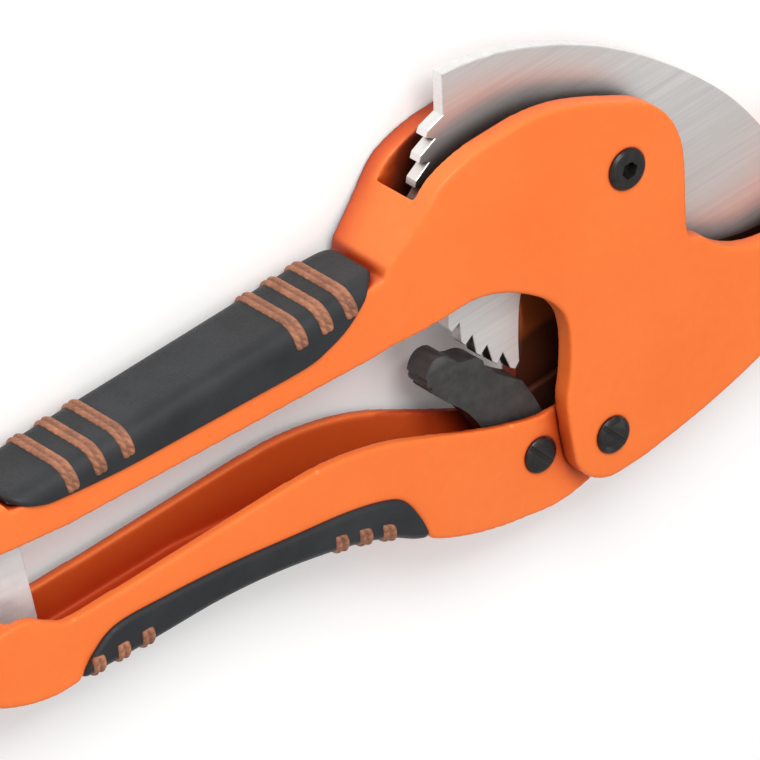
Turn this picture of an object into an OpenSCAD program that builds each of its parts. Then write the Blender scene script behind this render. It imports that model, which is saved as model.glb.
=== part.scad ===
// Ratcheting cutter for plastic pipe, lying on its far cheek.
// X runs along the handles towards the jaw, Y across the tool in the plane of
// the blade, Z through its thickness. Every drawing point below is taken from
// the blade's pivot, and place() moves the tool so that the middle of its
// underside is the origin.

/* [Head] */
// Thickness of the head over both cheeks
head_t = 21; // [20.5:0.1:22]
// Thickness of each cheek
cheek_t = 4.7; // [4.2:0.1:4.8]
// Radius of the pipe seat in the hook jaw
seat_r = 22; // [20:0.5:23]

/* [Blade] */
// Thickness of the blade
blade_t = 3; // [2.4:0.1:3.2]
// Radius over the tips of the ratchet teeth
tooth_r = 45.5; // [45.2:0.1:45.6]
// Depth of a ratchet tooth
tooth_h = 2.5; // [1.5:0.1:3]
// Angle from one tooth to the next
tooth_pitch = 6.5; // [6.5:6.5:6.5]
// Width of the ground face along the cutting edge
grind_w = 3.2; // [2.4:0.1:3.6]

/* [Handles] */
// Width of each handle
handle_w = 17; // [16.4:0.2:17.4]
// Wall thickness of the handle channels
wall = 2.4; // [2:0.1:2.8]
// Thickness of rubber on each side of a handle
rubber_side = 1.1; // [0.8:0.1:1.3]

/* [Fits] */
// Radial clearance of a pin in a part that turns on it
run = 0.05; // [0.03:0.01:0.08]
// Gap on each side of a part that moves between two walls
side_gap = 0.3; // [0.3:0.05:0.4]

/* [Hidden] */

mid = head_t / 2;                 // middle plane of the tool
slot0 = cheek_t;                  // inner face of the far cheek
slot1 = head_t - cheek_t;         // inner face of the near cheek
hub0 = slot0 + side_gap;          // lower handle's ears, far face
hub1 = slot1 - side_gap;          // lower handle's ears, near face
ear_t = 2;                        // thickness of an ear
hz0 = mid - handle_w / 2;         // handles, far face
hz1 = mid + handle_w / 2;         // handles, near face
rz0 = hz0 - rubber_side;          // rubber, far face
rz1 = hz1 + rubber_side;          // rubber, near face

P1 = [0, 0];                      // blade pivot
P2 = [-15.9, -54.7];              // lower handle pivot
P3 = [-30.2, -53.3];              // pawl pivot
PL = [-150, -31];                 // latch pivot
PK = [-144.5, -0.9];              // latch keeper
seat_c = [33, -13];               // middle of the pipe seat

r_bolt = 3;                       // blade bolt
r_bush = 5.5;                     // blade bush, outside
r_pin2 = 3;                       // handle pivot pin
r_pin3 = 2.5;                     // pawl pin
r_pinL = 2;                       // latch pin
r_keep = 1.5;                     // keeper pin

orange = [0.95, 0.45, 0.16];
black = [0.16, 0.16, 0.17];
steel = [0.75, 0.75, 0.73];
dark = [0.22, 0.21, 0.21];

// ---------- curves ----------
function polar(r, a) = [r * cos(a), r * sin(a)];
function arc(c, r, a0, a1, n) = [for (i = [0:n]) c + polar(r, a0 + (a1 - a0) * i / n)];
function pt(p, i) = p[max(0, min(len(p) - 1, i))];
function cr1(a, b, c, d, t) = 0.5 * (2 * b + (c - a) * t + (2 * a - 5 * b + 4 * c - d) * t * t
                              + (3 * b - a - 3 * c + d) * t * t * t);
// smooth curve through an open run of points, n steps to each span
function run_of(p, n = 3) = concat(
    [for (i = [0:len(p) - 2], j = [0:n - 1]) cr1(pt(p, i - 1), p[i], p[i + 1], pt(p, i + 2), j / n)],
    [p[len(p) - 1]]);

// ---------- outlines, from the blade's pivot ----------
// fixed handle, head and hook jaw
body_top = [[-57, 9], [-50.4, 14], [-44.2, 19.3], [-41, 21], [-36, 22.4], [-30, 23],
            [-20, 22.8], [-12, 21.2], [-5, 18.3], [1.5, 14.9], [7, 11.7], [10.5, 8.3],
            [13, 4], [14.1, -1], [13.9, -6], [13, -11], [12, -16], [11.3, -20], [11.4, -23.2]];
hook_out = [[53.2, -21.6], [55.8, -21], [57, -24], [56.8, -31], [54.2, -38.5], [49, -45],
            [42, -50], [31, -55.2], [20.4, -58.8], [6.5, -61.9], [-8.8, -64]];
window_in = [[-25.2, -53], [-24.6, -43], [-22.6, -37.3], [-20.9, -31], [-20.4, -25], [-22, -20.4],
             [-25.8, -15.8], [-32, -11.2], [-38, -8.6], [-44, -7.9], [-52, -8.5], [-64, -8.7]];
body_end = [[-139, -3.7], [-157, -1], [-163, 0.6], [-166, 3], [-166.6, 5.6], [-164.5, 8.2], [-161, 8.6]];
body_pts = concat([[-58.2, 6.5]], run_of(body_top), arc(seat_c, seat_r, 213, 334, 16),
                  run_of(hook_out), arc(P2, 9.5, 268, 190, 6), run_of(window_in), run_of(body_end),
                  [[-151.6, 8.6], [-150.4, 6.5]]);

// lower handle, metal
low_top = [[-168.4, -20.4], [-166.5, -18.4], [-160, -17.8], [-152.5, -18.2], [-146.4, -22.4], [-139, -24],
           [-97, -24.3], [-80, -25], [-67, -28], [-57.5, -32], [-47, -37.5], [-37, -42.4], [-27.5, -45.4], [-17, -45.5]];
low_bot = [[-17, -64.6], [-22, -66], [-29.5, -66.4], [-37, -64.8], [-45, -62.2], [-52.5, -59], [-60, -54.8]];
low_rec = [[-61.4, -52], [-70, -44.8], [-80, -41.2], [-95, -37.6], [-110, -35.6], [-141.4, -35.4]];
low_end = [[-144.4, -37.9], [-150, -37.8], [-157, -36], [-164, -32.4], [-168, -27], [-168.4, -20.4]];
low_pts = concat(run_of(low_top), run_of(low_bot), run_of(low_rec), run_of(low_end));
// floor of its channel
low_floor = [[5, -63], [-22, -63.2], [-29.5, -63.6], [-37, -62], [-45, -59.4], [-52.5, -56.2], [-62, -48.8],
             [-70, -42.2], [-80, -38.6], [-95, -35], [-110, -33], [-141, -32.8], [-143, -34.6], [-156, -34.6]];

// underside of the lower rubber
low_skin = [[-60.6, -54.4], [-64, -52.8], [-70, -49], [-80, -45.3], [-95, -41.7], [-110, -39.7], [-126, -39.1],
            [-143.6, -38.2]];
// upper limit of the rubber on the side of the lower handle
low_line = [[-143.6, -37], [-140.6, -33.4], [-134, -30.2], [-121.5, -30.8], [-106, -32.5], [-91, -35], [-78, -37.2],
            [-69, -39.8], [-64.6, -42.6], [-62, -48], [-60.6, -54]];
// lower limit of the rubber on the side of the upper handle
up_line = [[-150, 8.8], [-147.5, 6.4], [-144.5, 4.6], [-140, 3.3], [-125, 1.3], [-110, 0.3], [-95, -0.6],
           [-80, -1.4], [-74, -0.4], [-69, 1.4], [-64.4, 4.6], [-61.4, 7.6], [-58.8, 9]];
grip_top = 9;

up_ribs = [-80, -73.7, -67.6, -136.6, -129.8, -123];
low_ribs = [-81, -75.4, -70, -140, -134, -128];

// blade: spine, tip and cutting edge
spine = [[-31, 36.6], [-25, 35.8], [-17, 33.7], [-9.4, 30.6], [-1.8, 26.7], [5.9, 21.8], [13.6, 15.7], [20.6, 9],
         [27.6, 1.4], [33.4, -6.3], [37.8, -14.2], [41, -22], [43, -30]];
edge_c = [39.6, 12.2];            // middle of the round cutting edge
edge_r = 52.8;
edge = concat([[43.8, -34], [42.6, -38]], arc(edge_c, edge_r, 268, 217, 14));
heel = [[-9, -16], [-16, -15.6], [-21.6, -17.2], [-24.4, -21], [-26.4, -28], [-27.6, -34]];
tooth_n = 14;
tooth_a0 = 139.5;                 // where the first tooth starts
teeth = [for (k = [tooth_n - 1:-1:0]) let (a = tooth_a0 + k * tooth_pitch) each
         [polar(tooth_r, a + tooth_pitch - 0.05), polar(tooth_r, a + tooth_pitch * 0.72), polar(tooth_r - tooth_h, a + 0.05)]];
blade_pts = concat(run_of(spine, 2), edge, run_of(heel, 2), teeth);

// pawl: inner side follows the tooth circle, outer side carries the thumb tab
pawl_pts = concat(run_of([[-25.6, -50.6], [-26, -46], [-27.2, -41.8]]), arc(P1, 47.1, 232, 219, 6),
                  run_of([[-36.7, -27.8], [-38.8, -26], [-42.3, -24.9], [-44.8, -21.8], [-48, -21.4], [-50.4, -24],
                   [-50, -27.4], [-47, -31.6], [-42.6, -37], [-39.4, -44], [-37, -50], [-35.6, -55]]));
pawl_z0 = hub0 + ear_t + 0.5;
pawl_z1 = hub1 - ear_t - 0.5;

// ---------- helpers ----------
bx0 = -168.43; bx1 = 57.126; by0 = -66.452; by1 = 36.6;   // limits of the drawing
module place() translate([-(bx0 + bx1) / 2, -(by0 + by1) / 2, 0]) children();
module flat(pts, z0, z1) translate([0, 0, z0]) linear_extrude(z1 - z0) polygon(pts);
module plan(pts) translate([0, 120, 0]) rotate([90, 0, 0]) linear_extrude(240) polygon(pts);
module post(p, r, z0, z1) translate([p[0], p[1], z0]) cylinder(r = r, h = z1 - z0, $fn = 64);
module tube(p, ro, ri, z0, z1) difference() { post(p, ro, z0, z1); post(p, ri, z0 - 1, z1 + 1); }
// a block across the handle, from x0 to x1
module slab(x0, x1, y0, y1, z0, z1) translate([x0, y0, z0]) cube([x1 - x0, y1 - y0, z1 - z0]);

// wire bent along a run of points in space
function unit(v) = v / norm(v);
module wire(p, r, sides = 8) {
    n = len(p);
    rings = [for (i = [0:n - 1])
        let (t = unit(p[min(n - 1, i + 1)] - p[max(0, i - 1)]),
             u = unit(cross([0.013, 0.021, 1], t)), v = cross(t, u))
        each [for (k = [0:sides - 1]) p[i] + r * (u * cos(360 * k / sides) + v * sin(360 * k / sides))]];
    polyhedron(rings, concat(
        [[for (k = [0:sides - 1]) k]],
        [for (i = [0:n - 2], k = [0:sides - 1]) [i * sides + k, (i + 1) * sides + k,
            (i + 1) * sides + (k + 1) % sides, i * sides + (k + 1) % sides]],
        [[for (k = [sides - 1:-1:0]) (n - 1) * sides + k]]));
}
// coil of a torsion spring with its two straight ends
function coil(c, r, z0, z1, a0, turns, leg0, leg1, n = 18) = concat(
    [[c[0] + r * cos(a0) + leg0 * sin(a0), c[1] + r * sin(a0) - leg0 * cos(a0), z0]],
    [for (i = [0:ceil(turns * n)]) let (s = i / ceil(turns * n), a = a0 + 360 * turns * s)
        [c[0] + r * cos(a), c[1] + r * sin(a), z0 + (z1 - z0) * s]],
    [let (a = a0 + 360 * turns) [c[0] + r * cos(a) - leg1 * sin(a), c[1] + r * sin(a) + leg1 * cos(a), z1]]);

// ---------- frame ----------
module main_body() color(orange) place() difference() {
    intersection() {
        flat(body_pts, 0, head_t);
        plan([[70, 0], [-46, 0], [-58.9, hz0], [-175, hz0], [-175, hz1], [-58.9, hz1], [-46, head_t], [70, head_t]]);
    }
    // slot between the cheeks, for the ratchet sector of the blade
    post(P1, 49.3, slot0, slot1);
    // slot for the wing of the blade in the hook jaw
    intersection() {
        post(P1, 58.3, slot0, slot1);
        slab(0, 80, -41.8, 30, slot0, slot1);
    }
    // room for the ears of the lower handle
    post(P2, 13.3, slot0, slot1);
    slab(-60, P2[0], -80, -38, slot0, slot1);
    // channel of the upper handle, with a slot for the latch at its end
    slab(-156, -62, -30, 4.4, hz0 + wall, hz1 - wall);
    slab(-175, -155.9, -30, 4.4, mid - 2.2, mid + 2.2);
    // blade bolt and its nut's pocket
    post(P1, r_bolt + run, -1, head_t + 1);
    translate([0, 0, -1]) rotate(12) cylinder(r = 5.8, h = 3.8, $fn = 6);
    // handle pivot pin and its clip's recess
    post(P2, r_pin2 + run, -1, head_t + 1);
    post(P2, 4.6, -1, 1.6);
    // blind seats of the keeper pin
    post(PK, r_keep + 0.02, hz0 + 1.2, hz1 - 1.2);
}

// rounded section of the rubber: half an oval with round shoulders
module saddle(z0, z1, top, r) rotate([90, 0, 90]) translate([0, 0, -170]) linear_extrude(130)
    polygon(concat([[-20, z0]], arc([top - r, z0 + r], r, 270, 360, 6), arc([top - r, z1 - r], r, 0, 90, 6), [[-20, z1]]));
module upper_grip_form() intersection() {
    flat(concat([[-58.8, 12], [-150, 12]], run_of(up_line)), rz0, rz1);
    saddle(rz0, rz1, grip_top, 4);
}
module up_rib_form(grow) for (x = up_ribs) intersection() {
    slab(x - 1.3, x + 1.3, 3.6, 20, -5, 30);
    saddle(rz0 - grow, rz1 + grow, grip_top + grow, 4 + grow);
}
module upper_grip() color(black) place() difference() {
    upper_grip_form();
    slab(-160, -50, -30, 6.5, hz0, hz1);
    difference() { up_rib_form(2); up_rib_form(-0.7); }
}
module upper_grip_ribs() color(orange) place() difference() {
    up_rib_form(0.55);
    difference() { up_rib_form(-0.7); }
    slab(-160, -50, -30, 6.5, hz0, hz1);
}

module blade_bolt() color(dark) place() difference() {
    union() {
        post(P1, r_bolt, 0.4, head_t + 0.1);
        translate([0, 0, head_t]) rotate_extrude($fn = 64)
            polygon([[0, 0], [4.4, 0], [4.4, 0.45], [3.9, 0.95], [3.2, 1.1], [0, 1.1]]);
    }
    translate([0, 0, head_t - 1.2]) cylinder(r = 1.9, h = 5, $fn = 6);
}
module blade_nut() color(dark) place() difference() {
    translate([0, 0, 0.3]) rotate(12) cylinder(r = 5.6, h = 2.45, $fn = 6);
    post(P1, r_bolt + 0.02, -1, 5);
}
module blade_bush() color(steel) place() tube(P1, r_bush, r_bolt + 0.02, slot0 + 0.02, slot1 - 0.02);
module blade_washer() color(steel) place() tube(P1, 10, r_bush + 0.05, mid + blade_t / 2 + side_gap, slot1 - 0.05);
module blade_spring() color(steel) place()
    wire(coil(P1, 7.1, slot0 + 0.85, mid - blade_t / 2 - 1.1, 200, 1.9, 6, 5), 0.65);

// pin with a low slotted head on top of z1, and a clip groove near its end
module headed_pin(p, r, z0, z1, rh, hh, groove) difference() {
    union() {
        post(p, r, z0, z1 + 0.05);
        translate([p[0], p[1], z1]) rotate_extrude($fn = 64)
            polygon([[0, 0], [rh, 0], [rh, hh * 0.45], [rh - 0.45, hh * 0.85], [rh - 1.1, hh], [0, hh]]);
    }
    translate([p[0], p[1], z1 + hh - 0.45]) rotate(35) translate([-0.5, -10, 0]) cube([1, 20, 2]);
    tube(p, r + 1, r - 0.45, groove - 0.05, groove + 0.75);
}
// open retaining ring
module clip(p, r, ri, z) difference() {
    tube(p, r, ri, z, z + 0.7);
    translate([p[0], p[1], z - 1]) rotate(140) translate([0, -1.2, 0]) cube([10, 2.4, 3]);
}
module handle_pivot_pin() color(dark) place() headed_pin(P2, r_pin2, 0.3, head_t, 3.9, 1, 0.7);
module handle_pivot_clip() color(steel) place() clip(P2, 4.3, r_pin2 - 0.4, 0.7);
module latch_keeper_pin() color(steel) place() post(PK, r_keep, hz0 + 1.25, hz1 - 1.25);

// ---------- lower handle ----------
module lower_handle() color(orange) place() difference() {
    intersection() {
        union() { flat(low_pts, hz0, hz1); post(P2, 9.3, hz0, hz1); }
        plan([[20, hub0], [-34, hub0], [-58, hz0], [-175, hz0], [-175, hz1], [-58, hz1], [-34, hub1], [20, hub1]]);
    }
    // channel
    intersection() {
        flat(concat([[-156, 10], [5, 10]], low_floor), 0, head_t);
        plan([[20, hub0 + ear_t], [-34, hub0 + ear_t], [-58, hz0 + wall], [-156, hz0 + wall],
              [-156, hz1 - wall], [-58, hz1 - wall], [-34, hub1 - ear_t], [20, hub1 - ear_t]]);
    }
    // slot for the latch in the solid tail
    flat([[-155.9, 0], [-155.9, -34], [-164, -29.3], [-175, -23], [-175, 0]], mid - 2.2, mid + 2.2);
    post(P2, r_pin2 + run, -1, 30);
    post(P3, r_pin3 + 0.02, -1, 30);
    post(PL, r_pinL + 0.02, hz0 + 1.2, hz1 - 1.2);
}
function back(p) = [for (i = [len(p) - 1:-1:0]) p[i]];
sole_pts = concat(run_of(low_skin), back(run_of(low_rec)));
flap_pts = concat(run_of(low_skin), run_of(low_line));
module lower_grip_form() {
    flat(sole_pts, hz0, hz1);
    flat(flap_pts, rz0, hz0);
    flat(flap_pts, hz1, rz1);
}
// underside and side line heights at x
function low_y(x) = lookup(x, [for (q = low_skin) q]);
module low_rib(x, drop, side, z0, z1) translate([0, 0, z0]) linear_extrude(z1 - z0)
    polygon([[x - 1.3, low_y(x - 1.3) - drop], [x + 1.3, low_y(x + 1.3) - drop],
             [x + 1.3, low_y(x + 1.3) + side], [x - 1.3, low_y(x - 1.3) + side]]);
module low_rib_form(x) difference() {
    low_rib(x, 0.5, 4.4, rz0 - 0.5, rz1 + 0.5);
    low_rib(x, -0.9, 9, rz0 + 0.6, rz1 - 0.6);
}
module lower_grip() color(black) place() difference() {
    lower_grip_form();
    for (x = low_ribs) difference() {
        low_rib(x, 2, 4.4, rz0 - 2, rz1 + 2);
        low_rib(x, -0.9, 9, rz0 + 0.6, rz1 - 0.6);
    }
}
module lower_grip_ribs() color(orange) place() for (x = low_ribs) low_rib_form(x);
module handle_pivot_bush() color(steel) place() tube(P2, 4, r_pin2 + run, hub0 + ear_t + 0.03, hub1 - ear_t - 0.03);
module handle_spring() color(steel) place()
    wire(coil(P2, 5.3, hub0 + ear_t + 1, hub1 - ear_t - 1, 278, 3.1, 8.5, 1.5), 0.65);
module pawl_pin() color(dark) place() headed_pin(P3, r_pin3, hub0 - 1.5, hub1, 3.8, 1, hub0 - 0.85);
module pawl_pin_clip() color(steel) place() clip(P3, 3.7, r_pin3 - 0.4, hub0 - 0.85);
module pawl_spring() color(steel) place()
    wire(coil(P3, 3.5, hub0 + ear_t + 0.45, pawl_z0 + 1.8, 100, 2.05, 3.4, 0.8), 0.3);
module latch_pin() color(steel) place() post(PL, r_pinL, hz0 + 1.25, hz1 - 1.25);

// ---------- pawl ----------
module pawl() color(dark) place() difference() {
    union() { flat(pawl_pts, pawl_z0, pawl_z1); post(P3, 5.5, pawl_z0, pawl_z1); }
    post(P3, r_pin3 + run, 0, 30);
    post(P3, 6.3, 0, pawl_z0 + 2.3);
    // finger grooves across the thumb tab
    for (i = [0:2]) translate([-50.9 + 0.75 * i, -24.9 - 2.3 * i, 0]) cylinder(r = 0.7, h = 40, $fn = 24);
}

// ---------- blade ----------
// ground face along the cutting edge, a cone about the middle of the edge
module grind() intersection() {
    translate([edge_c[0], edge_c[1], mid]) rotate_extrude($fn = 128)
        polygon([[edge_r - grind_w, blade_t / 2], [edge_r + 3, 0.25 - 3 * (blade_t / 2 - 0.25) / grind_w],
                 [edge_r + 3, blade_t], [edge_r - grind_w, blade_t]]);
    flat([[-1.5, -14], [52, -28], [52, -60], [-30, -60]], 0, 30);
}
module blade() color(steel) place() difference() {
    flat(blade_pts, mid - blade_t / 2, mid + blade_t / 2);
    post(P1, r_bush + run, 0, 30);
    grind();
    translate([0, 0, 2 * mid]) mirror([0, 0, 1]) grind();
}

// ---------- latch ----------
latch_pts = [[-153.2, -31], [-154.5, -24], [-154.5, 2.8], [-153.6, 3.8], [-148, 3.8], [-147, 3], [-147, 1.8],
             [-150, 1.8], [-150.5, 1.3], [-150.5, -4.6], [-149.6, -6], [-146.8, -7], [-146, -8.2], [-146, -24], [-146.8, -31]];
module lock_latch() color(steel) place() difference() {
    union() { flat(latch_pts, mid - 1, mid + 1); post(PL, 3.2, mid - 1, mid + 1); }
    post(PL, r_pinL + run, 0, 30);
}

main_body();
upper_grip();
upper_grip_ribs();
blade_bolt();
blade_nut();
blade_bush();
blade_washer();
blade_spring();
handle_pivot_pin();
handle_pivot_clip();
latch_keeper_pin();
lower_handle();
lower_grip();
lower_grip_ribs();
handle_pivot_bush();
handle_spring();
pawl_pin();
pawl_pin_clip();
pawl_spring();
latch_pin();
pawl();
blade();
lock_latch();
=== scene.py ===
import math

import bmesh
import bpy
from mathutils import Matrix, Vector
from mathutils.geometry import tessellate_polygon


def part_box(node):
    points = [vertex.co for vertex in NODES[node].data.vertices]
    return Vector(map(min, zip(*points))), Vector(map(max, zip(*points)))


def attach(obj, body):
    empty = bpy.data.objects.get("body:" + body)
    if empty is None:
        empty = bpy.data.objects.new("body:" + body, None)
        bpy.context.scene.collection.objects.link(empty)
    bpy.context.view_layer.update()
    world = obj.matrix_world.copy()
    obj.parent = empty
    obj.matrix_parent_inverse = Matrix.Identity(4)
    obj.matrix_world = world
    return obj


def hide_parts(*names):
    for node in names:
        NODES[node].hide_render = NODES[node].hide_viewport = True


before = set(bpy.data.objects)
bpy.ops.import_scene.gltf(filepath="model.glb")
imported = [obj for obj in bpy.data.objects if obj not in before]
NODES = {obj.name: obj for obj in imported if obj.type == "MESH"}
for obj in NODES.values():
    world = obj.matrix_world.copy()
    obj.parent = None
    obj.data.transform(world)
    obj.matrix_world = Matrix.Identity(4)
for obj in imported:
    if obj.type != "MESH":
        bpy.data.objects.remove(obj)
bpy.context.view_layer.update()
scene = bpy.context.scene

# ------------------------------------------------------------------ frame
# Drawing points are in millimetres from the blade's pivot, as in the design.
_lo, _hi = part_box("blade_bolt")
ORG = Vector(((_lo.x + _hi.x) / 2, (_lo.y + _hi.y) / 2, 0.0))


def R(x, y, z):
    return Vector((x / 1000 + ORG.x, y / 1000 + ORG.y, z / 1000))


HEAD_T = (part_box("main_body")[1].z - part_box("main_body")[0].z) * 1000
MID = HEAD_T / 2
HZ0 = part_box("lower_handle")[0].z * 1000
HZ1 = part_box("lower_handle")[1].z * 1000
RZ0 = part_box("upper_grip")[0].z * 1000
RZ1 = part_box("upper_grip")[1].z * 1000

# ------------------------------------------------------------------ camera
A = Vector((math.cos(math.radians(127.2)), math.sin(math.radians(127.2)), 0))
B = Vector((math.cos(math.radians(37.2)), math.sin(math.radians(37.2)), 0))
Z = Vector((0, 0, 1))
CT, ST = 0.70, math.sqrt(1 - 0.49)
C = (ST * A + CT * Z).normalized()
EN = ST * Z - CT * A
RIGHT = (0.5 * B + 0.8660254 * EN).normalized()
UP = (0.8660254 * B - 0.5 * EN).normalized()
AIM = R(-65.25, -12.1, HEAD_T)
DIST = 3.0
cam_data = bpy.data.cameras.new("photo_camera")
cam_data.sensor_width = 36
cam_data.lens = 246.3 * DIST
cam_data.clip_start, cam_data.clip_end = 0.05, 50
cam = bpy.data.objects.new("photo_camera", cam_data)
scene.collection.objects.link(cam)
cam.matrix_world = Matrix(
    (
        (RIGHT.x, UP.x, C.x, AIM.x + C.x * DIST),
        (RIGHT.y, UP.y, C.y, AIM.y + C.y * DIST),
        (RIGHT.z, UP.z, C.z, AIM.z + C.z * DIST),
        (0, 0, 0, 1),
    )
)
scene.camera = cam

# ------------------------------------------------------------------ light
scene.view_settings.view_transform = "Standard"
scene.view_settings.look = "None"
world = bpy.data.worlds.new("studio")
scene.world = world
world.use_nodes = True
bg = world.node_tree.nodes["Background"]
bg.inputs["Color"].default_value = (1.0, 0.99, 0.985, 1)
bg.inputs["Strength"].default_value = 0.50


def area(name, where, size, energy, color=(1, 1, 1), target=None):
    d = bpy.data.lights.new(name, "AREA")
    d.shape = "RECTANGLE"
    d.size, d.size_y = size
    d.energy = energy
    d.color = color
    o = bpy.data.objects.new(name, d)
    scene.collection.objects.link(o)
    o.location = where
    o.rotation_mode = "QUATERNION"
    o.rotation_quaternion = ((target or AIM) - where).to_track_quat("-Z", "Y")
    return o


HOR = (0.857 * A + 0.514 * B).normalized()
area("key", AIM + 0.95 * (0.78 * HOR + 0.62 * Z), (0.42, 0.42), 6.6, (1, 0.99, 0.975))
area("fill", AIM + 1.1 * (0.7 * RIGHT + 0.15 * UP + 0.85 * C), (0.9, 0.9), 1.6)
area("top", R(-50, -20, 0) + Vector((0, 0, 1.0)), (1.0, 1.0), 1.6)

# ------------------------------------------------------------------ floor
fm = bpy.data.meshes.new("floor")
fm.from_pydata([(-4, -4, 0), (4, -4, 0), (4, 4, 0), (-4, 4, 0)], [], [(0, 1, 2, 3)])
floor = bpy.data.objects.new("floor", fm)
scene.collection.objects.link(floor)
floor.location = (0, 0, -0.0002)


# ------------------------------------------------------------------ materials
def new_mat(name):
    m = bpy.data.materials.new(name)
    m.use_nodes = True
    nt = m.node_tree
    nt.nodes.clear()
    out = nt.nodes.new("ShaderNodeOutputMaterial")
    p = nt.nodes.new("ShaderNodeBsdfPrincipled")
    nt.links.new(p.outputs[0], out.inputs[0])
    return m, nt, p


def N(nt, kind, **kw):
    n = nt.nodes.new(kind)
    for k, v in kw.items():
        if k in n.inputs:
            n.inputs[k].default_value = v
        else:
            setattr(n, k, v)
    return n


def coords(nt, scale=(1, 1, 1), rot=(0, 0, 0)):
    t = nt.nodes.new("ShaderNodeTexCoord")
    mp = nt.nodes.new("ShaderNodeMapping")
    mp.inputs["Scale"].default_value = scale
    mp.inputs["Rotation"].default_value = rot
    nt.links.new(t.outputs["Object"], mp.inputs["Vector"])
    return mp.outputs["Vector"]


def noise(nt, vec, scale, detail=3.0, rough=0.5, distortion=0.0):
    n = nt.nodes.new("ShaderNodeTexNoise")
    n.inputs["Scale"].default_value = scale
    n.inputs["Detail"].default_value = detail
    n.inputs["Roughness"].default_value = rough
    n.inputs["Distortion"].default_value = distortion
    nt.links.new(vec, n.inputs["Vector"])
    return n.outputs["Fac"]


def ramp(nt, fac, stops):
    r = nt.nodes.new("ShaderNodeValToRGB")
    e = r.color_ramp.elements
    while len(e) > len(stops):
        e.remove(e[-1])
    while len(e) < len(stops):
        e.new(0.5)
    for el, (pos, col) in zip(e, stops):
        el.position = pos
        el.color = (*col, 1) if len(col) == 3 else col
    nt.links.new(fac, r.inputs["Fac"])
    return r.outputs["Color"]


def rng(nt, fac, a, b, lo, hi):
    r = nt.nodes.new("ShaderNodeMapRange")
    for k, v in zip(("From Min", "From Max", "To Min", "To Max"), (a, b, lo, hi)):
        r.inputs[k].default_value = v
    nt.links.new(fac, r.inputs["Value"])
    return r.outputs["Result"]


def mix(nt, fac, c0, c1, blend="MIX"):
    m = nt.nodes.new("ShaderNodeMix")
    m.data_type = "RGBA"
    m.blend_type = blend
    for key, v in (("Factor", fac), ("A", c0), ("B", c1)):
        sock = [s for s in m.inputs if s.name == key and s.type in (("VALUE",) if key == "Factor" else ("RGBA",))][0]
        if isinstance(v, (int, float)):
            sock.default_value = v
        elif isinstance(v, tuple):
            sock.default_value = (*v, 1)
        else:
            nt.links.new(v, sock)
    return [s for s in m.outputs if s.type == "RGBA"][0]


def math_node(nt, op, a, b=None, c=None):
    n = nt.nodes.new("ShaderNodeMath")
    n.operation = op
    for i, v in enumerate((a, b, c)):
        if v is None:
            continue
        if isinstance(v, (int, float)):
            n.inputs[i].default_value = v
        else:
            nt.links.new(v, n.inputs[i])
    return n.outputs[0]


def bump(nt, p, height, dist, strength=1.0, after=None):
    b = nt.nodes.new("ShaderNodeBump")
    b.inputs["Strength"].default_value = strength
    b.inputs["Distance"].default_value = dist
    nt.links.new(height, b.inputs["Height"])
    if after is not None:
        nt.links.new(after, b.inputs["Normal"])
    nt.links.new(b.outputs["Normal"], p.inputs["Normal"])
    return b.outputs["Normal"]


def edge_mask(nt, lo, hi):
    g = nt.nodes.new("ShaderNodeNewGeometry")
    return rng(nt, g.outputs["Pointiness"], lo, hi, 0, 1)


def crevice(nt, dist, samples=12):
    """How open a spot is to its surroundings: 0 deep in a slot, 1 in the open."""
    n = nt.nodes.new("ShaderNodeAmbientOcclusion")
    n.inputs["Distance"].default_value = dist
    n.samples = samples
    return n.outputs["AO"]


def painted_crevice_shade(nt, col, dist, deep, half, lo=0.12, mid_at=0.45, hi=0.80):
    """Paints shade into a colour where it lies deep between walls: half way down first, then in the deepest spots."""
    ao = crevice(nt, dist)
    col = mix(nt, rng(nt, ao, mid_at, hi, 1.0, 0.0), col, half)
    return mix(nt, rng(nt, ao, lo, mid_at, 1.0, 0.0), col, deep)


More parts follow.
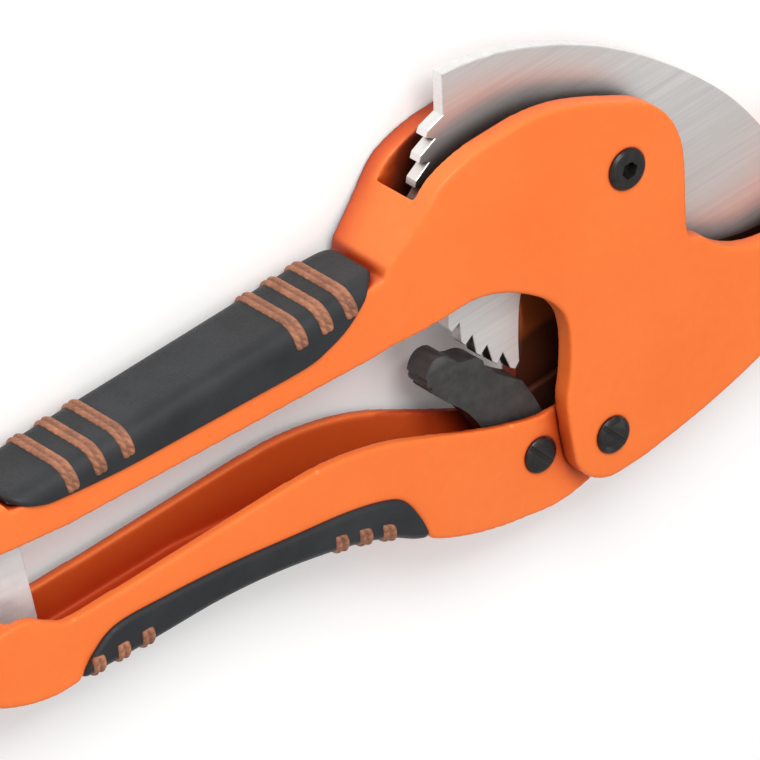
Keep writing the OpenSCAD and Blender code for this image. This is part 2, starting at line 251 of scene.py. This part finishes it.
def mat_orange():
    m, nt, p = new_mat("orange_powder_coat")
    v = coords(nt)
    large = noise(nt, v, 38, 3, 0.55)
    small = noise(nt, v, 420, 4, 0.6)
    col = ramp(nt, large, [(0.25, (0.88, 0.170, 0.026)), (0.75, (0.935, 0.200, 0.036))])
    speck = rng(nt, small, 0.35, 0.7, 0.0, 0.18)
    col = mix(nt, speck, col, (0.82, 0.140, 0.020))
    edge = edge_mask(nt, 0.53, 0.60)
    ed = math_node(nt, "MULTIPLY", edge, rng(nt, noise(nt, v, 260, 4, 0.65), 0.42, 0.62, 0.15, 0.75))
    col = mix(nt, ed, col, (0.96, 0.31, 0.10))
    # painted shade deep in the slots and corners of the casting, where the light does not reach
    col = painted_crevice_shade(nt, col, 0.011, (0.045, 0.010, 0.005), (0.42, 0.034, 0.003), 0.12, 0.50, 0.90)
    # painted shade down in the blade's slot, away from its lip
    g = nt.nodes.new("ShaderNodeSeparateXYZ")
    nt.links.new(v, g.inputs[0])
    dx = math_node(nt, "SUBTRACT", g.outputs[0], ORG.x)
    dy = math_node(nt, "SUBTRACT", g.outputs[1], ORG.y)
    rad = math_node(nt, "SQRT", math_node(nt, "ADD", math_node(nt, "MULTIPLY", dx, dx), math_node(nt, "MULTIPLY", dy, dy)))
    rad = math_node(nt, "ADD", rad, rng(nt, noise(nt, v, 160, 3, 0.6), 0.3, 0.7, -0.001, 0.001))
    dz = math_node(nt, "ABSOLUTE", math_node(nt, "SUBTRACT", g.outputs[2], MID / 1000))
    slot_shade = math_node(nt, "MULTIPLY", rng(nt, rad, 0.0445, 0.0475, 1.0, 0.0), rng(nt, dz, 0.0057, 0.0061, 1.0, 0.0))
    # and the same painted shade between the ears, round the handle's pivot
    ex = math_node(nt, "SUBTRACT", g.outputs[0], R(-15.9, 0, 0).x)
    ey = math_node(nt, "SUBTRACT", g.outputs[1], R(0, -54.7, 0).y)
    er = math_node(nt, "SQRT", math_node(nt, "ADD", math_node(nt, "MULTIPLY", ex, ex), math_node(nt, "MULTIPLY", ey, ey)))
    ez = math_node(nt, "SUBTRACT", g.outputs[2], (MID - 1.3) / 1000)
    ears = math_node(nt, "MULTIPLY", rng(nt, er, 0.019, 0.026, 1.0, 0.0),
                     rng(nt, math_node(nt, "ABSOLUTE", ez), 0.0048, 0.0052, 1.0, 0.0))
    ears = math_node(nt, "MULTIPLY", ears, rng(nt, g.outputs[1], R(0, -60, 0).y, R(0, -58, 0).y, 0.0, 1.0))
    slot_shade = math_node(nt, "MAXIMUM", slot_shade, ears)
    # painted shade in the channel of the lower handle, darker than the outside
    low = math_node(nt, "SUBTRACT", R(0, -36.5, 0).y, math_node(
        nt, "MULTIPLY", 0.424, math_node(nt, "MAXIMUM", 0.0, math_node(nt, "SUBTRACT", g.outputs[0], R(-95, 0, 0).x))))
    channel_shade = math_node(nt, "MULTIPLY", rng(nt, dz, 0.0061, 0.0064, 1.0, 0.0),
                   rng(nt, g.outputs[0], R(-47, 0, 0).x, R(-43, 0, 0).x, 1.0, 0.0))
    channel_shade = math_node(nt, "MULTIPLY", channel_shade, rng(nt, math_node(nt, "SUBTRACT", g.outputs[1], low), -0.0005, 0.001, 0.0, 1.0))
    channel_shade = math_node(nt, "MULTIPLY", channel_shade, rng(nt, g.outputs[1], R(0, -21, 0).y, R(0, -19, 0).y, 1.0, 0.0))
    channel_shade = math_node(nt, "MULTIPLY", channel_shade, rng(nt, g.outputs[0], R(-156.5, 0, 0).x, R(-155.5, 0, 0).x, 0.0, 1.0))
    col = mix(nt, math_node(nt, "MULTIPLY", channel_shade, 0.62), col, (0.36, 0.016, 0.0015))
    col = mix(nt, math_node(nt, "MULTIPLY", slot_shade, 0.93), col, (0.032, 0.010, 0.006))
    nt.links.new(col, p.inputs["Base Color"])
    nt.links.new(rng(nt, small, 0.3, 0.7, 0.38, 0.52), p.inputs["Roughness"])
    p.inputs["Specular IOR Level"].default_value = 0.30
    p.inputs["Coat Weight"].default_value = 0.10
    p.inputs["Coat Roughness"].default_value = 0.28
    n1 = bump(nt, p, noise(nt, v, 950, 2, 0.5), 0.00006, 0.55)
    bump(nt, p, noise(nt, v, 120, 2, 0.5), 0.00012, 0.35, after=n1)
    return m


def mat_rubber():
    m, nt, p = new_mat("black_grip_rubber")
    v = coords(nt)
    a = noise(nt, v, 70, 4, 0.6)
    f = noise(nt, v, 1500, 3, 0.6)
    col = ramp(nt, a, [(0.3, (0.013, 0.014, 0.016)), (0.72, (0.026, 0.028, 0.031))])
    edge = edge_mask(nt, 0.52, 0.60)
    col = mix(nt, math_node(nt, "MULTIPLY", edge, 0.4), col, (0.07, 0.07, 0.074))
    nt.links.new(col, p.inputs["Base Color"])
    nt.links.new(rng(nt, f, 0.3, 0.7, 0.44, 0.62), p.inputs["Roughness"])
    p.inputs["Specular IOR Level"].default_value = 0.34
    n1 = bump(nt, p, f, 0.00005, 0.6)
    bump(nt, p, noise(nt, v, 300, 2, 0.5), 0.00008, 0.35, after=n1)
    return m


def mat_rib():
    m, nt, p = new_mat("orange_grip_rubber")
    v = coords(nt)
    a = noise(nt, v, 260, 4, 0.65)
    col = ramp(nt, a, [(0.3, (0.20, 0.075, 0.040)), (0.55, (0.36, 0.145, 0.075)), (0.8, (0.50, 0.21, 0.11))])
    # painted shade down in the notches between the beads
    col = painted_crevice_shade(nt, col, 0.0012, (0.03, 0.018, 0.014), (0.13, 0.055, 0.035), 0.25, 0.60, 0.9)
    nt.links.new(col, p.inputs["Base Color"])
    nt.links.new(rng(nt, a, 0.3, 0.7, 0.5, 0.68), p.inputs["Roughness"])
    bump(nt, p, noise(nt, v, 1300, 3, 0.6), 0.00006, 0.6)
    return m


def mat_blade():
    m, nt, p = new_mat("ground_blade_steel")
    v = coords(nt, scale=(28, 1700, 300), rot=(0, 0, math.radians(38)))
    streak = noise(nt, v, 1.0, 4, 0.7)
    vv = coords(nt)
    cloud = noise(nt, vv, 26, 3, 0.55)
    col = ramp(nt, streak, [(0.25, (0.70, 0.695, 0.685)), (0.75, (0.86, 0.855, 0.84))])
    col = mix(nt, rng(nt, cloud, 0.35, 0.7, 0.0, 0.35), col, (0.74, 0.73, 0.71))
    # painted shade on the blade where it runs down into the slot beside the cheeks
    col = painted_crevice_shade(nt, col, 0.010, (0.035, 0.018, 0.013), (0.16, 0.095, 0.07), 0.22, 0.40, 0.52)
    nt.links.new(col, p.inputs["Base Color"])
    p.inputs["Metallic"].default_value = 0.8
    nt.links.new(rng(nt, streak, 0.25, 0.75, 0.36, 0.52), p.inputs["Roughness"])
    p.inputs["Anisotropic"].default_value = 0.35
    bump(nt, p, streak, 0.00003, 0.5)
    return m


def mat_metal(name, c0, c1, r0, r1, metallic=1.0, scale=500, bumpd=0.00003, stretch=(1, 1, 1)):
    m, nt, p = new_mat(name)
    v = coords(nt, scale=stretch)
    a = noise(nt, v, scale, 4, 0.6)
    b = noise(nt, coords(nt), 90, 3, 0.5)
    col = ramp(nt, a, [(0.3, c0), (0.7, c1)])
    col = mix(nt, rng(nt, b, 0.4, 0.7, 0, 0.3), col, tuple(0.8 * x for x in c0))
    edge = edge_mask(nt, 0.53, 0.62)
    col = mix(nt, math_node(nt, "MULTIPLY", edge, 0.45), col, tuple(min(1, 1.7 * x + 0.03) for x in c1))
    nt.links.new(col, p.inputs["Base Color"])
    p.inputs["Metallic"].default_value = metallic
    nt.links.new(rng(nt, a, 0.3, 0.7, r0, r1), p.inputs["Roughness"])
    bump(nt, p, a, bumpd, 0.5)
    return m


def mat_floor():
    m, nt, p = new_mat("studio_floor")
    v = coords(nt)
    a = noise(nt, v, 3, 3, 0.5)
    nt.links.new(ramp(nt, a, [(0.2, (0.93, 0.93, 0.93)), (0.8, (0.95, 0.95, 0.95))]), p.inputs["Base Color"])
    p.inputs["Emission Color"].default_value = (1, 1, 1, 1)
    p.inputs["Emission Strength"].default_value = 0.09
    p.inputs["Roughness"].default_value = 0.85
    p.inputs["Specular IOR Level"].default_value = 0.1
    return m


M_ORANGE = mat_orange()
M_RUBBER = mat_rubber()
M_RIB = mat_rib()
M_BLADE = mat_blade()
M_PAWL = mat_metal("pawl_black_oxide", (0.050, 0.050, 0.048), (0.085, 0.085, 0.082), 0.38, 0.55, 0.55, 420)
M_BLACK = mat_metal("pin_black_oxide", (0.022, 0.020, 0.020), (0.042, 0.038, 0.037), 0.34, 0.5, 0.6, 500)
M_BRIGHT = mat_metal("turned_steel", (0.46, 0.46, 0.45), (0.60, 0.60, 0.585), 0.25, 0.4, 1.0, 700)
M_SPRING = mat_metal("spring_wire", (0.24, 0.24, 0.245), (0.38, 0.38, 0.385), 0.25, 0.42, 1.0, 800)
M_LATCH = mat_metal("zinc_plate", (0.82, 0.81, 0.80), (0.94, 0.935, 0.925), 0.36, 0.55, 0.6, 160, 0.00004, (1, 3, 1))
floor.data.materials.append(mat_floor())


# ------------------------------------------------------------------ mesh tools
def link(o):
    scene.collection.objects.link(o)
    return o


def baked(o, name):
    """A new mesh object holding o with its modifiers applied; o is removed."""
    dg = bpy.context.evaluated_depsgraph_get()
    me = bpy.data.meshes.new_from_object(o.evaluated_get(dg))
    me.name = name
    bpy.data.objects.remove(o)
    n = bpy.data.objects.new(name, me)
    return link(n)


def smooth(o, angle=None):
    for f in o.data.polygons:
        f.use_smooth = True
    if angle is not None:
        o.data.set_sharp_from_angle(angle=math.radians(angle))
    return o


def copy_of(node, name):
    me = NODES[node].data.copy()
    me.materials.clear()
    o = bpy.data.objects.new(name, me)
    return link(o)


def cast(node, name, voxel, passes, keep, body, mat):
    """The CAD solid with softly rounded cast edges: voxel remesh, smoothing, then fewer faces."""
    o = copy_of(node, name + "_tmp")
    w = o.modifiers.new("weld", "WELD")
    w.merge_threshold = 1e-6
    r = o.modifiers.new("remesh", "REMESH")
    r.mode = "VOXEL"
    r.voxel_size = voxel
    s = o.modifiers.new("smooth", "SMOOTH")
    s.factor = 0.5
    s.iterations = passes
    d = o.modifiers.new("fewer", "DECIMATE")
    d.ratio = keep
    o = baked(o, name)
    o.data.materials.append(mat)
    smooth(o)
    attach(o, body)
    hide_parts(node)
    return o


def dress(node, mat, bevel=0.0, segments=2, angle=30):
    """A CAD node kept as it is, with a material, small broken edges and smooth shading."""
    o = NODES[node]
    o.data.materials.clear()
    o.data.materials.append(mat)
    for f in o.data.polygons:
        f.use_smooth = True
        f.material_index = 0
    w = o.modifiers.new("weld", "WELD")
    w.merge_threshold = 1e-6
    if bevel:
        d = o.modifiers.new("flat", "DECIMATE")
        d.decimate_type = "DISSOLVE"
        d.angle_limit = math.radians(1.0)
        b = o.modifiers.new("edges", "BEVEL")
        b.width = bevel
        b.segments = segments
        b.limit_method = "ANGLE"
        b.angle_limit = math.radians(angle)
        b.harden_normals = False
        b.use_clamp_overlap = True
    wn = o.modifiers.new("normals", "WEIGHTED_NORMAL")
    wn.keep_sharp = True
    return o


def build(name, verts, faces, mat, body, replaces=None):
    me = bpy.data.meshes.new(name)
    me.from_pydata([tuple(v) for v in verts], [], faces)
    me.validate()
    bm = bmesh.new()
    bm.from_mesh(me)
    bmesh.ops.remove_doubles(bm, verts=bm.verts, dist=1e-7)
    bmesh.ops.recalc_face_normals(bm, faces=bm.faces)
    bm.to_mesh(me)
    bm.free()
    o = link(bpy.data.objects.new(name, me))
    o.data.materials.append(mat)
    smooth(o)
    if body:
        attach(o, body)
    if replaces:
        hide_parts(replaces)
    return o


# ------------------------------------------------------------------ curves
def polar(r, a):
    return (r * math.cos(math.radians(a)), r * math.sin(math.radians(a)))


def cr(p, n):
    """Smooth curve through the points, n steps to a span."""
    out = []
    for i in range(len(p) - 1):
        a, b, c, d = p[max(0, i - 1)], p[i], p[i + 1], p[min(len(p) - 1, i + 2)]
        for j in range(n):
            t = j / n
            out.append(tuple(
                0.5 * (2 * b[k] + (c[k] - a[k]) * t + (2 * a[k] - 5 * b[k] + 4 * c[k] - d[k]) * t * t
                       + (3 * b[k] - a[k] - 3 * c[k] + d[k]) * t ** 3)
                for k in (0, 1)))
    return out + [tuple(p[-1])]


def table(pts, n=6):
    """y as a function of x along a smooth run whose x is in order."""
    q = sorted(cr(pts, n))

    def f(x):
        if x <= q[0][0]:
            return q[0][1]
        for (x0, y0), (x1, y1) in zip(q, q[1:]):
            if x <= x1:
                return y0 if x1 == x0 else y0 + (y1 - y0) * (x - x0) / (x1 - x0)
        return q[-1][1]

    return f


def lerp_at(path, s, lens):
    """Point and outward normal on a polyline at arc length s."""
    for i in range(len(path) - 1):
        if s <= lens[i + 1] or i == len(path) - 2:
            t = (s - lens[i]) / max(1e-9, lens[i + 1] - lens[i])
            a, b = path[i], path[i + 1]
            p = (a[0] + (b[0] - a[0]) * t, a[1] + (b[1] - a[1]) * t)
            d = (b[0] - a[0], b[1] - a[1])
            L = math.hypot(*d) or 1
            return p, (-d[1] / L, d[0] / L)


def lengths(path):
    out = [0.0]
    for a, b in zip(path, path[1:]):
        out.append(out[-1] + math.hypot(b[0] - a[0], b[1] - a[1]))
    return out


# ------------------------------------------------------------------ rubber grips
def section(side, crown, r, z0, z1, skirt=30):
    """Rounded section of a grip in (y, z), from the near side over the crown to the far side.
    side is +1 where the crown is up, and -1 where it is down."""
    p = [(crown - side * skirt, z1)]
    for i in range(13):
        a = 90 * i / 12
        p.append((crown - side * r + side * r * math.sin(math.radians(a)), z1 - r + r * math.cos(math.radians(a))))
    for i in range(13):
        a = 90 * i / 12
        p.append((crown - side * r + side * r * math.cos(math.radians(a)), z0 + r - r * math.sin(math.radians(a))))
    p.append((crown - side * skirt, z0))
    return p


def start_of(path, lens, y, side):
    """Arc length on the near side where the section reaches y."""
    for i in range(len(path) // 2):
        a, b = path[i], path[i + 1]
        if (a[0] - y) * side <= 0 <= (b[0] - y) * side and b[0] != a[0]:
            return lens[i] + (lens[i + 1] - lens[i]) * (y - a[0]) / (b[0] - a[0])
    return lens[len(path) // 2 - 1]


def grip(name, x0, x1, side, crown, line, r, body, node, nx=190, ns=56, blunt=0.0, end0=1.0, end1=1.0):
    """A moulded rubber skin: edges rolled down to the metal, softly puffed in between."""
    verts, faces = [], []
    roll = 1.3
    drop = RZ1 - HZ1 + 0.02

    def h(d):
        if d >= roll:
            return 0.0
        u = 1 - max(0.0, d) / roll
        return -drop * (1 - math.sqrt(max(0.0, 1 - u * u)))

    xs = []
    for i in range(nx + 1):
        t = i / nx
        xs.append(x0 + (x1 - x0) * t)
    # finer near the two ends
    extra = [x0 + d for d in (0.05, 0.12, 0.22, 0.36)] + [x1 - d for d in (0.05, 0.12, 0.22, 0.36)]
    xs = sorted(set(xs + extra))
    for x in xs:
        dx = min((x - x0) * end0, (x1 - x) * end1)
        front = max(0.0, 1 - (x1 - x) / 9.0)
        sec = section(side, crown(x), r + blunt * front * front, RZ0, RZ1)
        ln = lengths(sec)
        s0 = start_of(sec, ln, line(x), side)
        s1 = ln[-1] - s0
        rim = [0.0, 0.06, 0.16, 0.32, 0.55, 0.85]
        a, b = s0 + 1.15, s1 - 1.15
        ts = [s0 + e for e in rim] + [a + (b - a) * i / (ns - 1) for i in range(ns)] + [s1 - e for e in reversed(rim)]
        ring, inner = [], []
        for t in ts:
            (y, z), (ny, nz) = lerp_at(sec, t, ln)
            if side < 0:
                ny, nz = -ny, -nz
            o = max(h(min(t - s0, s1 - t)) + h(dx), -drop)
            ring.append(R(x, y + ny * o, z + nz * o))
            inner.append(R(x, y - ny * (drop + 0.5), z - nz * (drop + 0.5)))
        verts.append(ring + inner[::-1])
    cols = len(verts[0])
    half = cols // 2
    flat = [v for ring in verts for v in ring]
    for i in range(len(verts) - 1):
        for j in range(cols):
            a, b = i * cols + j, i * cols + (j + 1) % cols
            faces.append((a, a + cols, b + cols, b))
    for base in (0, (len(verts) - 1) * cols):
        for j in range(half - 1):
            faces.append((base + j, base + j + 1, base + cols - 2 - j, base + cols - 1 - j))
    return build(name, flat, faces, M_RUBBER, body, node)


up_line = table([(-150, 8.8), (-147.5, 6.4), (-144.5, 4.6), (-140, 3.3), (-125, 1.3), (-110, 0.3), (-95, -0.6),
                 (-80, -1.4), (-74, -0.4), (-69, 1.4), (-64.4, 4.6), (-61.4, 7.6), (-58.8, 8.9)])
low_skin = table([(-60.6, -54.4), (-64, -52.8), (-70, -49), (-80, -45.3), (-95, -41.7), (-110, -39.7), (-126, -39.1),
                  (-143.6, -38.2)])
low_line = table([(-143.6, -37), (-140.6, -33.4), (-134, -30.2), (-121.5, -30.8), (-106, -32.5), (-91, -35),
                  (-78, -37.2), (-69, -39.8), (-64.6, -42.6), (-62, -48), (-60.6, -54)])
UP_RIBS = [-80, -73.7, -67.6, -136.6, -129.8, -123]
LOW_RIBS = [-81, -75.4, -70, -140, -134, -128]

grip("upper_grip_rubber", -149.95, -58.85, 1, lambda x: 9.0, up_line, 4.0, "frame", "upper_grip", blunt=1.3, end1=0.8)
grip("lower_grip_rubber", -143.5, -60.7, -1, low_skin, low_line, 3.2, "lever", "lower_grip")


def hoops(name, xs, side, crown, r, reach, body, node, width=3.0, proud=0.68, deep=0.7):
    """Moulded rib hoops: each a bead that runs over the grip, notched across like a rope."""
    verts, faces = [], []
    prof = []
    for i in range(21):
        u = -math.cos(math.pi * i / 20)
        ridge = abs(math.sin(math.pi * (u + 1))) ** 0.7
        prof.append((width / 2 * u, 0.0 if i in (0, 20) else max(0.22 * (1 - u * u) ** 0.3, ridge)))
    for x0 in xs:
        sec0 = section(side, crown(x0), r, RZ0, RZ1)
        ln0 = lengths(sec0)
        s0 = start_of(sec0, ln0, crown(x0) - side * reach, side)
        s1 = ln0[-1] - s0
        n = 150
        base = len(verts)
        cols = len(prof) + 2
        for i in range(n + 1):
            s = s0 + (s1 - s0) * i / n
            end = min(s - s0, s1 - s)
            cap = math.sqrt(max(0.0, 1 - (1 - min(1.0, end / 1.2)) ** 2))
            ring = []
            for dx, k in [(-width / 2, None)] + prof + [(width / 2, None)]:  # None: the bead's root
                x = x0 + dx * (0.55 + 0.45 * cap)
                sec = section(side, crown(x), r, RZ0, RZ1)
                ln = ln0
                (y, z), (ny, nz) = lerp_at(sec, s, ln)
                if side < 0:
                    ny, nz = -ny, -nz
                notch = 0.5 + 0.5 * math.cos(2 * math.pi * ((s - s0) / 2.1 + (0.5 if dx > 0 else 0) + 0.35 * dx))
                hgt = proud * cap * (1 - 0.55 * (1 - min(1.0, notch * 2.4))) - 0.12 * (1 - cap)
                o = -deep if k is None else (hgt * k if hgt > 0 else hgt)
                ring.append(R(x, y + ny * o, z + nz * o))
            verts += ring
        for i in range(n):
            for j in range(cols):
                a = base + i * cols + j
                b = base + i * cols + (j + 1) % cols
                faces.append((a, a + cols, b + cols, b))
        faces.append(tuple(base + j for j in range(cols)))
        faces.append(tuple(base + n * cols + j for j in reversed(range(cols))))
    return build(name, verts, faces, M_RIB, body, node)


hoops("upper_grip_hoops", UP_RIBS, 1, lambda x: 9.0, 4.0, 5.2, "frame", "upper_grip_ribs")
hoops("lower_grip_hoops", LOW_RIBS, -1, low_skin, 3.2, 4.6, "lever", "lower_grip_ribs")

# ------------------------------------------------------------------ castings
VOX = 0.00034
cast("main_body", "body_casting", VOX, 22, 0.3, "frame", M_ORANGE)
cast("lower_handle", "lever_casting", VOX, 20, 0.3, "lever", M_ORANGE)

# ------------------------------------------------------------------ blade
SPINE = [(-31, 36.6), (-25, 35.8), (-17, 33.7), (-9.4, 30.6), (-1.8, 26.7), (5.9, 21.8), (13.6, 15.7), (20.6, 9),
         (27.6, 1.4), (33.4, -6.3), (37.8, -14.2), (41, -22), (43, -30)]
EDGE_C, EDGE_R = (39.6, 12.2), 52.8
EDGE = [(EDGE_C[0] + EDGE_R * math.cos(math.radians(268 - 51 * i / 40)),
         EDGE_C[1] + EDGE_R * math.sin(math.radians(268 - 51 * i / 40))) for i in range(41)]
HEEL = [(-9, -16), (-16, -15.6), (-21.6, -17.2), (-24.4, -21), (-26.4, -28), (-27.6, -34)]
PITCH, TOOTH_R, TOOTH_H, A0 = 6.5, 45.5, 2.5, 139.5


def make_blade():
    out = []  # (x, y, inset, half thickness at the outline)
    for q in cr(SPINE, 5):
        out.append((*q, 0.22, 1.3))
    out.append((43.8, -34, 0.22, 1.3))
    out.append((42.6, -38, 0.22, 1.3))
    for i, q in enumerate(EDGE):
        k = max(0.0, min(1.0, i / 2, (len(EDGE) - 1 - i) / 4))
        out.append((*q, 0.22 + 3.0 * k, 1.3 - 1.16 * k))
    for q in cr(HEEL, 4):
        out.append((*q, 0.22, 1.3))
    for k in range(13, -1, -1):
        a = A0 + k * PITCH
        for r, da in ((TOOTH_R, PITCH - 0.05), (TOOTH_R, PITCH * 0.72), (TOOTH_R - TOOTH_H, 0.05)):
            out.append((*polar(r, a + da), 0.12, 1.38))
    n = len(out)
    area2 = sum(out[i][0] * out[(i + 1) % n][1] - out[(i + 1) % n][0] * out[i][1] for i in range(n))
    sgn = 1 if area2 > 0 else -1
    ins = []
    for i in range(n):
        (xa, ya), (xb, yb), (xc, yc) = out[i - 1][:2], out[i][:2], out[(i + 1) % n][:2]
        d1 = Vector((xb - xa, yb - ya)).normalized()
        d2 = Vector((xc - xb, yc - yb)).normalized()
        n1 = Vector((-d1.y, d1.x)) * sgn
        n2 = Vector((-d2.y, d2.x)) * sgn
        nn = n1 + n2
        nn = nn.normalized() if nn.length > 1e-6 else n1
        w = out[i][2] / max(0.5, nn.dot(n1))
        ins.append((xb + nn.x * w, yb + nn.y * w))
    t = 1.5
    hole = [polar(5.55, 360 * i / 48) for i in range(48)]
    verts, faces = [], []

    def ring(pts, z):
        b = len(verts)
        for i, p in enumerate(pts):
            verts.append(R(p[0], p[1], MID + (z[i] if isinstance(z, list) else z)))
        return b

    r0 = ring(ins, t)
    r1 = ring([o[:2] for o in out], [o[3] for o in out])
    r2 = ring([o[:2] for o in out], [-o[3] for o in out])
    r3 = ring(ins, -t)
    for a, b in ((r0, r1), (r1, r2), (r2, r3)):
        for i in range(n):
            j = (i + 1) % n
            faces.append((a + i, a + j, b + j, b + i))
    h0, h1 = ring(hole, t), ring(hole, -t)
    for i in range(48):
        j = (i + 1) % 48
        faces.append((h0 + i, h0 + j, h1 + j, h1 + i))
    loops = [[Vector((*p, 0)) for p in ins], [Vector((*p, 0)) for p in hole]]
    tris = tessellate_polygon(loops)
    for tri in tris:
        faces.append(tuple((r0 + k if k < n else h0 + k - n) for k in tri))
        faces.append(tuple((r3 + k if k < n else h1 + k - n) for k in tri))
    o = build("blade_ground", verts, faces, M_BLADE, "blade_arm", "blade")
    o.data.set_sharp_from_angle(angle=math.radians(14))
    return o


make_blade()

# ------------------------------------------------------------------ CAD nodes that stay
dress("pawl", M_PAWL, 0.00045, 3)
dress("lock_latch", M_LATCH, 0.00022, 2)
dress("blade_bolt", M_BLACK, 0.00012, 2)
dress("handle_pivot_pin", M_BLACK, 0.00012, 2)
dress("pawl_pin", M_BLACK, 0.00012, 2)
dress("blade_nut", M_BLACK, 0.0002, 2)
dress("blade_bush", M_BRIGHT)
dress("blade_washer", M_BRIGHT, 0.0002, 2)
dress("handle_pivot_bush", M_BRIGHT)
dress("latch_keeper_pin", M_BRIGHT)
dress("latch_pin", M_BRIGHT)
dress("handle_pivot_clip", M_SPRING, 0.0001, 2)
dress("pawl_pin_clip", M_SPRING, 0.0001, 2)
for n in ("blade_spring", "handle_spring", "pawl_spring"):
    dress(n, M_SPRING)
